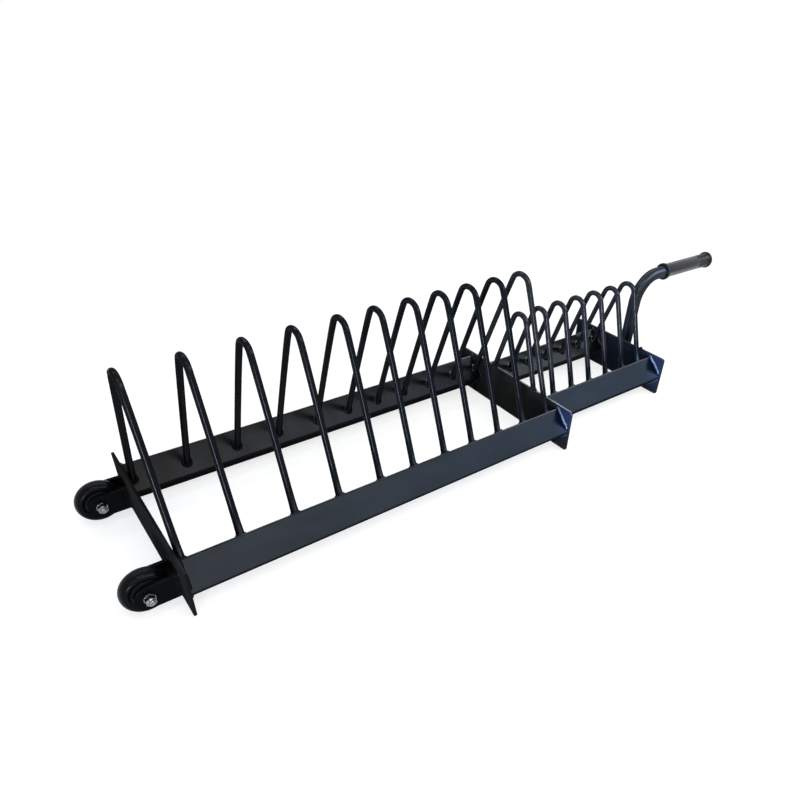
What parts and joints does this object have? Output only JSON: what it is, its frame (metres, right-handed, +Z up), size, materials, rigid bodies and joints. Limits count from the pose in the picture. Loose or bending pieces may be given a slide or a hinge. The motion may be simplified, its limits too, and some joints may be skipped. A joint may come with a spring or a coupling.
{
  "type": "discus cart",
  "caption": "Two-wheeled floor rack of welded square tube with upright rod hoops in a wide and a narrow section and a bent pull handle, for storing and moving discuses",
  "frame": {"origin": "on the floor under the middle of the bounding box; z = 0 is the plane of the three plates' lower edges, which the cart stands on", "axes": "+X from the wheels to the handle, +Y to the left of someone who faces the handle from the wheels, +Z up"},
  "size_m": [1.3383, 0.3182, 0.293],
  "materials": {
    "black_powder_coat": "satin black powder coat with a slight blue cast on welded steel",
    "grip_rubber": "matt black moulded rubber",
    "zinc_plate": "bright zinc plate on the axle bolts, nuts and washers",
    "bearing_steel": "ground bearing steel",
    "tyre_rubber": "smooth black solid rubber",
    "core_plastic": "black moulded plastic"
  },
  "bodies": {
    "chassis": {"wheel_end_plate": "black_powder_coat", "middle_plate": "black_powder_coat", "handle_end_plate": "black_powder_coat", "wide_rail_left": "black_powder_coat", "wide_rail_right": "black_powder_coat", "narrow_rail_left": "black_powder_coat", "narrow_rail_right": "black_powder_coat", "tall_hoop_01": "black_powder_coat", "tall_hoop_02": "black_powder_coat", "tall_hoop_03": "black_powder_coat", "tall_hoop_04": "black_powder_coat", "tall_hoop_05": "black_powder_coat", "tall_hoop_06": "black_powder_coat", "tall_hoop_07": "black_powder_coat", "tall_hoop_08": "black_powder_coat", "tall_hoop_09": "black_powder_coat", "tall_hoop_10": "black_powder_coat", "tall_hoop_11": "black_powder_coat", "small_hoop_1": "black_powder_coat", "small_hoop_2": "black_powder_coat", "small_hoop_3": "black_powder_coat", "small_hoop_4": "black_powder_coat", "small_hoop_5": "black_powder_coat", "small_hoop_6": "black_powder_coat", "small_hoop_7": "black_powder_coat", "fork_plate_left_a": "black_powder_coat", "fork_plate_left_b": "black_powder_coat", "fork_plate_right_a": "black_powder_coat", "fork_plate_right_b": "black_powder_coat", "axle_bolt_left": "zinc_plate", "axle_nut_left": "zinc_plate", "axle_washer_left": "zinc_plate", "axle_bolt_right": "zinc_plate", "axle_nut_right": "zinc_plate", "axle_washer_right": "zinc_plate", "wheel_left_side_spacer_a": "bearing_steel", "wheel_left_side_spacer_b": "bearing_steel", "wheel_right_side_spacer_a": "bearing_steel", "wheel_right_side_spacer_b": "bearing_steel", "wheel_left_bearing_spacer": "bearing_steel", "wheel_right_bearing_spacer": "bearing_steel", "handle_tube": "black_powder_coat", "handle_grip": "grip_rubber"},
    "wheel_left": {"wheel_left_tyre": "tyre_rubber", "wheel_left_core": "core_plastic", "wheel_left_bearing_a": "bearing_steel", "wheel_left_bearing_b": "bearing_steel"},
    "wheel_right": {"wheel_right_tyre": "tyre_rubber", "wheel_right_core": "core_plastic", "wheel_right_bearing_a": "bearing_steel", "wheel_right_bearing_b": "bearing_steel"}
  },
  "joints": [
    {"name": "wheel_left_spin", "type": "hinge", "parent": "chassis", "child": "wheel_left", "pos_m": [-0.63615, 0.11, 0.037], "axis": [0, 1, 0], "continuous": true},
    {"name": "wheel_right_spin", "type": "hinge", "parent": "chassis", "child": "wheel_right", "pos_m": [-0.63615, -0.11, 0.037], "axis": [0, 1, 0], "continuous": true}
  ]
}
